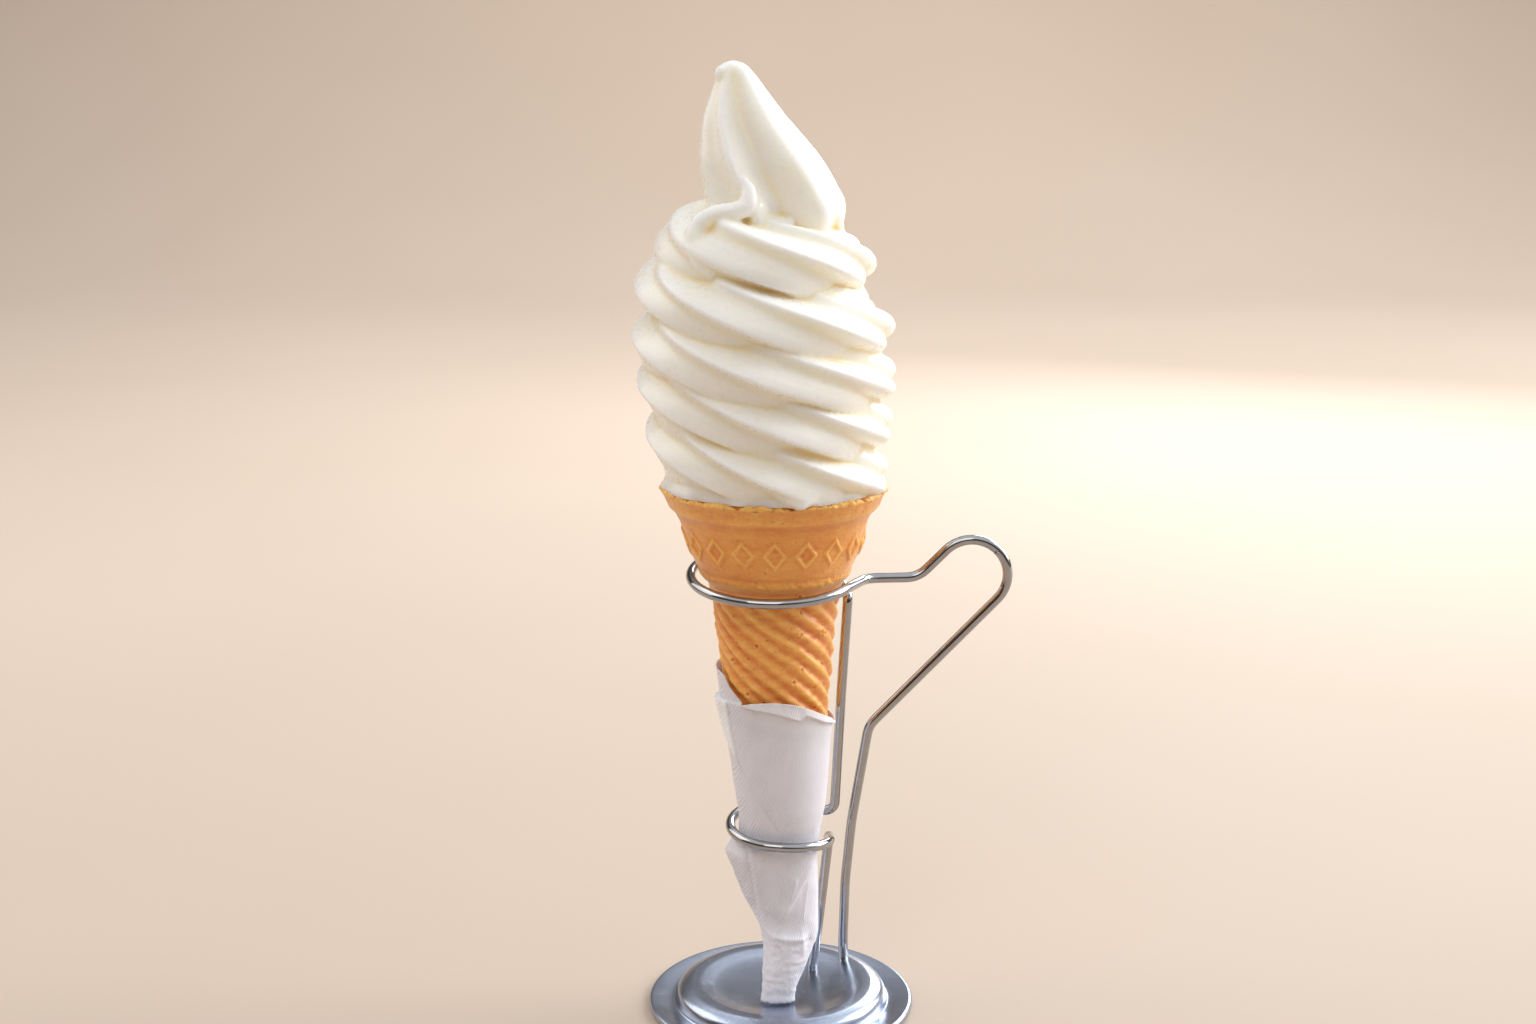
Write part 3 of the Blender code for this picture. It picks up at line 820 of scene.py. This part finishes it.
# %% The sleeve's tables
SLEEVE = (
    (5.9, -5.6, 3.9, 2.6, -11.6),
    (8.4, -5.2, 4.5, 3.3, -10.4),
    (12.0, -5.2, 5.9, 4.4, -8.6),
    (17.2, -4.9, 8.5, 5.4, -6.0),
    (22.0, -5.6, 10.1, 6.4, -3.4),
    (27.2, -8.3, 10.1, 7.4, -1.6),
    (32.4, -10.8, 10.1, 8.4, -0.8),
    (37.7, -12.9, 9.9, 9.2, -0.4),
    (43.4, -15.0, 9.9, 10.1, -0.2),
    (45.6, -13.9, 10.2, 10.3, -0.2),
    (47.4, -11.6, 10.5, 10.7, -0.2),
    (51.0, -11.4, 10.9, 11.2, -0.2),
    (62.3, -12.8, 11.95, 12.4, -0.1),
    (81.5, -15.55, 13.35, 14.45, 0.2),
    (95.0, -17.5, 14.9, 16.0, 0.3),
)
TOP_EDGE = (
    (-180, 88.5),
    (-120, 93.5),
    (-90, 94.0),
    (-61, 93.4),
    (-53, 90.6),
    (-44, 88.6),
    (-35, 86.9),
    (-23, 87.6),
    (-4, 88.1),
    (13, 87.6),
    (30, 86.0),
    (50, 83.4),
    (67, 81.3),
    (86, 79.0),
    (130, 81.0),
    (180, 88.5),
)
OVER_EDGE = ((-180, 84.0), (-100, 85.0), (-78, 85.8), (-65, 86.5), (-55, 86.6), (-35, 86.9), (-30, 99.0))
HEM_EDGE = (
    (-60, 86.9),
    (-35, 86.6),
    (-27, 86.1),
    (-13, 85.8),
    (1, 85.1),
    (12, 84.0),
    (22.5, 82.9),
    (29, 84.2),
    (44, 82.2),
    (54, 80.9),
    (86, 78.2),
    (120, 78.0),
)
LAP_EDGE = (
    (45.0, 18),
    (53.8, -6.5),
    (56.6, -15),
    (62.8, -32),
    (68.7, -46),
    (72.4, -52.6),
    (77.8, -54.5),
    (86.1, -56.2),
    (99, -57),
)
STRIP_EDGE = ((45.0, 18), (60.0, -24), (67.8, -45), (71.8, -56), (75.6, -69), (79.8, -80), (99, -110))
PAPER_STEP = 0.6
HEM_STEP = 0.9
PAPER_END = 5.3
FOLDS = (
    ((-9.3, 48.5), (-6.0, 26.0), -0.7, 0.6, 0.5),
    ((-7.9, 47.5), (-5.2, 28.0), 0.5, 0.5, 1.2),
    ((8.6, 41.5), (0.2, 27.0), 1.1, 2.4, 0.6),
    ((4.0, 38.0), (1.5, 29.0), 0.4, 0.8, 0.6),
    ((7.2, 37.0), (5.8, 26.0), 0.35, 0.8, 0.8),
    ((-2.0, 22.4), (6.6, 21.6), 1.3, 2.6, 0.8),
    ((1.5, 20.3), (8.2, 20.9), -0.5, 0.6, 0.9),
    ((-4.8, 24.0), (1.0, 19.0), 0.5, 0.9, 0.5),
    ((-4.2, 16.8), (7.4, 15.6), 0.3, 0.9, 0.5),
    ((-4.5, 14.0), (6.8, 14.4), 0.25, 0.8, 0.5),
    ((-4.8, 11.2), (4.9, 12.2), 0.25, 0.8, 0.5),
    ((-4.8, 9.0), (4.2, 9.6), 0.2, 0.7, 0.4),
    ((-5.6, 7.3), (4.3, 7.5), -0.3, 0.35, 0.5),
)
FLAP_TOP = 50.0
TAIL_TOP = 22.0
PAPER_SIDES = 460
EMBOSS_PITCH = 0.62
print("the sleeve is", SLEEVE[-1][2] - SLEEVE[-1][1], "mm wide at its top, with", len(FOLDS), "creases")


# %% Layers and creases of the paper
def over(value, edge, width):
    """0 below an edge and 1 above it, with a narrow soft step."""
    return np.clip((value - edge) / width + 0.5, 0, 1)


def fold_relief(x, z):
    """How far the paper stands out at creases, each from (x, z) to (x, z) with a height and two widths."""
    relief = np.zeros(x.shape)
    for start, end, stand, below, above in FOLDS:
        run = np.subtract(end, start)
        length = np.hypot(*run)
        ahead = run / length
        along = ((x - start[0]) * ahead[0] + (z - start[1]) * ahead[1]) / length
        aside = (z - start[1]) * ahead[0] - (x - start[0]) * ahead[1]
        width = np.where(aside < 0, below, above)
        ends = np.clip(1.15 - np.abs(along - 0.5) * 2, 0, 0.3) / 0.3
        relief += stand * ends * np.exp(-np.abs(aside) / width)
    return relief


def sleeve_place(angle, height):
    """Points of the paper's outside, by angle in degrees and height, and how much it is doubled there."""
    left, right, depth, middle = (through(column(SLEEVE, wanted), height) for wanted in (1, 2, 3, 4))
    turn = np.radians(angle)
    across = np.sin(turn)
    flap = np.clip((FLAP_TOP - height) / 5, 0, 1) * np.clip((height - TAIL_TOP) / 6, 0, 1)
    pinched = np.where(across < 0, 1 - 0.75 * flap * across**4, 1.0)
    on_cone = np.clip((height - FLAP_TOP) / 6, 0, 1)
    second = over(angle, through(LAP_EDGE, height), 1.8) * over(through(OVER_EDGE, angle), height, 0.25)
    second = np.maximum(second, over(-angle, 110, 30))
    strip = over(angle, through(STRIP_EDGE, height), 2.5) * (1 - over(angle, through(LAP_EDGE, height), 1.8))
    strip *= over(86.4, height, 0.3)
    hem_edge = np.interp(angle, *zip(*HEM_EDGE))
    hem = over(height, hem_edge, 0.2) * over(angle, -36, 2) * over(110, angle, 10)
    hem *= 1 - 0.75 * np.clip((height - hem_edge) / 3, 0, 1)
    corner = np.exp(-(((angle + 78) / 12) ** 2) - ((height - 85) / 4) ** 2)
    layers = PAPER_STEP * np.maximum(second, strip * 1.9) + HEM_STEP * hem
    layers = (layers + 0.4 * corner * over(86.4, height, 0.3)) * on_cone - 0.35
    doubled = np.maximum(strip, 0.5 * hem) * on_cone
    x = (left + right) / 2 + ((right - left) / 2 + layers) * across
    facing = np.clip(np.cos(turn) * 2, 0, 1)
    crumpled = np.clip((FLAP_TOP - 2 - height) / 10, 0, 1)
    tail = np.clip((24 - height) / 5, 0, 1)
    y = middle - (depth * pinched + layers) * np.cos(turn) - facing * fold_relief(x, height)
    place = np.stack([x, y, height], axis=-1)
    crumple = np.abs(cloudy(place * (1, 1, 0.7), 7.0, 6))
    crumple += tail * np.abs(cloudy(place * (0.45, 0.45, 1), 1.7, 3))
    wrinkle = (0.5 - crumple) * 0.38 * crumpled
    place[..., 0] += wrinkle * across
    place[..., 1] -= wrinkle * np.cos(turn)
    return place, doubled


# %% The sleeve
def make_paper():
    angle = np.linspace(-180, 180, PAPER_SIDES, endpoint=False)
    edge = through(TOP_EDGE, angle)
    share = np.concatenate([np.linspace(0, 0.12, 45), np.linspace(0.12, 1, 185)[1:]])[:, None]
    torn = 0.35 * np.abs(np.sin(np.radians(angle * 7))) + 0.3 * np.abs(np.sin(np.radians(angle * 17 + 40)))
    torn += PAPER_END
    height = edge * (1 - share) + torn * share
    outside, doubled = sleeve_place(np.broadcast_to(angle, height.shape), height)
    turn = np.radians(angle)
    inward = -np.stack([np.sin(turn), -np.cos(turn), 0 * turn], axis=1) * 0.3
    inside = outside[:40] + inward
    made = piece("paper_sleeve", [np.concatenate([inside[::-1], outside])])
    carry(made, "doubled", np.concatenate([doubled[:40] * 0, doubled]))
    return made


paper_sleeve = make_paper()
dress(paper_sleeve, "paper_sleeve")


# %% Paper finish
def paper():
    finish = Finish(
        "paper",
        Subsurface_Weight=0.15,
        Subsurface_Radius=(1.0, 1.0, 1.0),
        Subsurface_Scale=0.002,
    )
    fibre = finish.noise(0.9, 3.0, 0.6, finish.stretched(2.2, 2.2, 0.35))
    cloud = finish.noise(18.0, 2.0)
    sockets = {0: finish.place, 1: (0.94, 0.1, -0.34)}
    across = finish.node("ShaderNodeVectorMath", {"operation": "DOT_PRODUCT"}, sockets, output=1)
    rows = finish.math("SINE", across * (2 * math.pi / EMBOSS_PITCH) + finish.noise(6.0, 2.0) * 5.0)
    embossed = finish.bump(rows * finish.noise(5.0, 2.0).between(0.35, 0.6), 0.08, 0.7)
    single = finish.mix(cloud, rgb(236, 233, 239), rgb(224, 221, 229))
    color = finish.mix(finish.attribute("doubled"), single, rgb(252, 251, 254))
    return finish.wear(
        Base_Color=color,
        Roughness=0.55 + fibre * 0.2,
        Normal=finish.bump(fibre, 0.12, 0.5, embossed),
    )


paper_sleeve.data.materials.append(paper())

# %% [markdown]
# ## The wire
#
# One round wire makes the whole holder. It starts in the base, rises to the handle, goes round the
# cone's cup, drops to the lower ring, goes round the paper and returns to the base.

# %% The wire's line
WIRE_RADIUS = 1.3
FOOT_DEPTH = 2.2
UPPER_RING = (-2.1, 1.0, 117.6)
UPPER_RING_RADIUS = 21.15
LOWER_RING = (-0.2, 0.0, 50.2)
LOWER_RING_RADIUS = 13.1
RING_SLOPE = 0.11
DROP_SPAN = 110
WIRE_SIDES = 28


def ring_arc(centre, radius, start, end, drop, step):
    """Points along a sloping ring, by angle in degrees from the front, that sinks by drop to its end."""
    count = max(2, round(abs(end - start) / step)) + 1
    points = []
    for angle in np.linspace(start, end, count):
        sunk = drop * max(1 - abs(angle - end) / DROP_SPAN, 0) ** 1.5
        x = centre[0] + radius * math.sin(math.radians(angle))
        y = centre[1] - radius * math.cos(math.radians(angle))
        points.append((x, y, centre[2] + RING_SLOPE * (y - centre[1]) - sunk))
    return points


def filleted(corners, step):
    """A line of points with each corner, given as (x, y, z, radius), turned into an arc."""
    line = [Vector(corners[0][:3])]
    for before, corner, after in zip(corners, corners[1:], corners[2:]):
        here = Vector(corner[:3])
        back = (Vector(before[:3]) - here).normalized()
        on = (Vector(after[:3]) - here).normalized()
        bend = math.pi - back.angle(on)
        reach = corner[3] * math.tan(bend / 2)
        middle = here + (back + on).normalized() * corner[3] / math.cos(bend / 2)
        start = here + back * reach
        count = max(2, round(math.degrees(bend) / step))
        whole = (start - middle).rotation_difference(here + on * reach - middle)
        for i in range(count + 1):
            part = whole.copy()
            part.angle = whole.angle * i / count
            line.append(middle + part @ (start - middle))
    line.append(Vector(corners[-1][:3]))
    return line


# %% The wire
def wire_line():
    """The wire's middle line, from one foot to the other."""
    upper = ring_arc(UPPER_RING, UPPER_RING_RADIUS, 62, -243, 7.0, 3)
    lower = ring_arc(LOWER_RING, LOWER_RING_RADIUS, 138, 462, 5.0, 4)
    handle = (
        (17.2, 13.5, FOOT_DEPTH),
        (17.2, 13.5, 6.5, 1),
        (17.1, 12.9, 13.0, 60),
        (17.5, 11.2, 30.0, 60),
        (19.0, 9.5, 47.7, 90),
        (23.2, 7.0, 75.0, 8),
        (62.5, 5.0, 116.8, 9.4),
        (49.2, 5.0, 129.7, 9.4),
        (35.5, 5.0, 115.9, 7),
        (21.9, 2.4, 116.3, 7),
        upper[0],
    )
    upright = (
        upper[-1],
        (17.5, 6.0, 111.8, 3.0),
        (16.0, 7.0, 86.0, 200),
        (14.3, 8.0, 50.2, 3.0),
        lower[0],
    )
    second_leg = (
        lower[-1],
        (12.9, 5.6, 45.2, 2.0),
        (11.8, 4.0, 36.0, 30),
        (9.4, 6.7, 13.0, 30),
        (8.7, 9.3, 6.6, 4),
        (8.7, 9.3, FOOT_DEPTH),
    )
    return [
        *filleted(handle, 5),
        *[Vector(point) for point in upper[1:]],
        *filleted(upright, 6)[1:],
        *[Vector(point) for point in lower[1:]],
        *filleted(second_leg, 8)[1:],
    ]


wire_holder = piece("wire_holder", [tube_rings(wire_line(), WIRE_RADIUS, WIRE_SIDES)])
dress(wire_holder, "wire_holder")


# %% Polished wire finish
def polished_wire():
    finish = Finish("polished_wire", Metallic=1.0)
    smear = finish.noise(3.0, 3.0)
    color = finish.mix(smear, rgb(178, 178, 181), rgb(160, 159, 160))
    return finish.wear(
        Base_Color=color,
        Roughness=0.05 + smear * 0.08,
        Normal=finish.bump(finish.noise(5.0, 2.0), 0.06, 0.5),
    )


wire_holder.data.materials.append(polished_wire())

# %% [markdown]
# ## The base
#
# A round plate of satin steel, pressed from sheet: a rolled rim, a flat border, a groove, and a raised
# ring round a middle that is dished a little. It is turned from its profile. Years of wiping leave fine
# lines and smudges, which show as small changes of roughness and colour more than as depth.

# %% The base
BASE_PROFILE = (
    (0.01, 0.0),
    (34.6, 0.0),
    (35.1, 0.5),
    (35.2, 1.2),
    (34.9, 1.9),
    (34.3, 2.1),
    (33.2, 2.0),
    (29.2, 1.5),
    (28.7, 1.5),
    (28.3, 1.9),
    (27.9, 3.3),
    (27.4, 4.4),
    (26.6, 5.1),
    (25.4, 5.6),
    (23.8, 5.9),
    (22.0, 5.88),
    (19.6, 5.6),
    (16.6, 5.2),
    (12.5, 4.9),
    (7.0, 4.75),
    (0.01, 4.7),
)

BASE_SIDES = 200
BASE_RINGS = 120


def smooth_profile(profile, count):
    """More points along a profile, on a smooth line through its own."""
    place = np.arange(len(profile))
    at = np.linspace(0, len(profile) - 1, count)
    radii = through(list(zip(place, [point[0] for point in profile])), at)
    heights = through(list(zip(place, [point[1] for point in profile])), at)
    return list(zip(radii, heights))


base_rings = turned(smooth_profile(BASE_PROFILE, BASE_RINGS), lambda height: (0.0, 0.0), BASE_SIDES)
base = piece("base", [base_rings])
dress(base, "base")


# %% Satin steel finish
def satin_steel():
    finish = Finish("satin_steel", Metallic=1.0)
    scratch = finish.noise(0.6, 3.0, 0.6, finish.stretched(0.25, 1.0, 1.0))
    across = finish.noise(0.5, 3.0, 0.6, finish.stretched(1.0, 0.2, 1.0))
    lines = (scratch.between(0.56, 0.66) + across.between(0.58, 0.68)) * 0.5
    cloud = finish.noise(9.0, 3.0)
    smudge = finish.noise(3.5, 3.0, 0.5)
    worn = finish.mix(cloud * 0.5 + smudge * 0.5, rgb(197, 205, 222), rgb(149, 159, 180))
    color = finish.mix(lines * 0.3, worn, rgb(232, 236, 244))
    return finish.wear(
        Base_Color=color,
        Roughness=0.19 + smudge * 0.12,
        Normal=finish.bump(scratch, 0.002, 0.04, finish.bump(finish.noise(14.0, 1.0), 0.25, 0.5)),
    )


base.data.materials.append(satin_steel())

# %% [markdown]
# ## Stage and light
#
# A pale sweep carries the holder and closes the view behind it. A wide window on the right, a little
# behind, makes the bright edges and the soft shadows in the grooves. A small one behind it puts the
# glare on the base and the wire. A weaker window on the left, a lamp in front and one on the wall fill
# the rest. The sky is pale above and dark near the horizon in front and behind, so that polished wire
# gets dark lines beside bright ones. The stage is given in metres.


# %% Floor and lamps
FLOOR_BACK = 1.6
FLOOR_FRONT = -1.5
FLOOR_SIDE = 3.0
SWEEP_RADIUS = 0.6


def make_sweep():
    """The floor, with a quarter round at its back that carries it up into a wall."""
    profile = [(FLOOR_FRONT, 0.0), (FLOOR_BACK, 0.0)]
    for step in range(1, 13):
        angle = math.radians(90 * step / 12)
        ahead = FLOOR_BACK + SWEEP_RADIUS * math.sin(angle)
        profile.append((ahead, SWEEP_RADIUS - SWEEP_RADIUS * math.cos(angle)))
    points = [(x, y, z) for y, z in profile for x in (-FLOOR_SIDE, FLOOR_SIDE)]
    faces = [(i, i + 1, i + 3, i + 2) for i in range(0, len(points) - 2, 2)]
    mesh = bpy.data.meshes.new("sweep")
    mesh.from_pydata(points, [], faces)
    mesh.shade_smooth()
    made = bpy.data.objects.new("sweep", mesh)
    bpy.context.collection.objects.link(made)
    finish = Finish("sweep", Roughness=0.8)
    cloud = finish.noise(300.0, 2.0)
    mesh.materials.append(finish.wear(Base_Color=finish.mix(cloud, rgb(190, 172, 156), rgb(183, 165, 148))))


def lamp(name, place, size, power, color, aim_at=(0, 0, 0.13)):
    """A square lamp that faces the point it is aimed at."""
    data = bpy.data.lights.new(name, "AREA")
    data.size = size
    data.energy = power
    data.color = color
    made = bpy.data.objects.new(name, data)
    made.location = place
    aim = Vector(aim_at) - made.location
    made.rotation_euler = aim.to_track_quat("-Z", "Y").to_euler()
    bpy.context.collection.objects.link(made)


make_sweep()
lamp("window", (1.53, 0.58, 0.98), 1.26, 37.0, (0.94, 0.975, 1.0))
lamp("back_window", (0.38, 0.98, 0.48), 0.36, 4.4, (0.94, 0.975, 1.0))
lamp("left_window", (-0.8, 0.25, 0.6), 0.8, 3.2, (1.0, 0.96, 0.9))
lamp("fill", (-0.2, -0.9, 0.9), 0.8, 2.7, (1.0, 0.97, 0.94))
lamp("wall_wash", (0.0, 1.2, 1.2), 1.0, 10.0, (1.0, 0.97, 0.93), (0.0, 2.1, 0.2))
print("lamps:", sorted(light.name for light in bpy.data.lights))


# %% Sky
def make_sky():
    world = bpy.data.worlds.new("studio")
    bpy.context.scene.world = world
    world.use_nodes = True
    shader = world.node_tree.nodes["Background"]
    start = Link(world.node_tree)
    direction = start.node("ShaderNodeTexCoord")
    side = start.node("ShaderNodeSeparateXYZ", None, {0: direction}, output=0)
    ahead = start.node("ShaderNodeSeparateXYZ", None, {0: direction}, output=1)
    height = start.node("ShaderNodeSeparateXYZ", None, {0: direction}, output=2)
    open_to = height + side * 0.2 - start.math("ABSOLUTE", ahead) * 0.35
    stops = ((0.06, (0.09, 0.07, 0.06, 1.0)), (0.5, (0.92, 0.96, 1.0, 1.0)))
    color = start.node("ShaderNodeValToRGB", {"stops": stops}, {0: open_to})
    start.feed(shader.inputs["Color"], color)
    shader.inputs["Strength"].default_value = 1.0


make_sky()
bpy.context.scene.view_settings.view_transform = "Standard"
print("view transform:", bpy.context.scene.view_settings.view_transform)
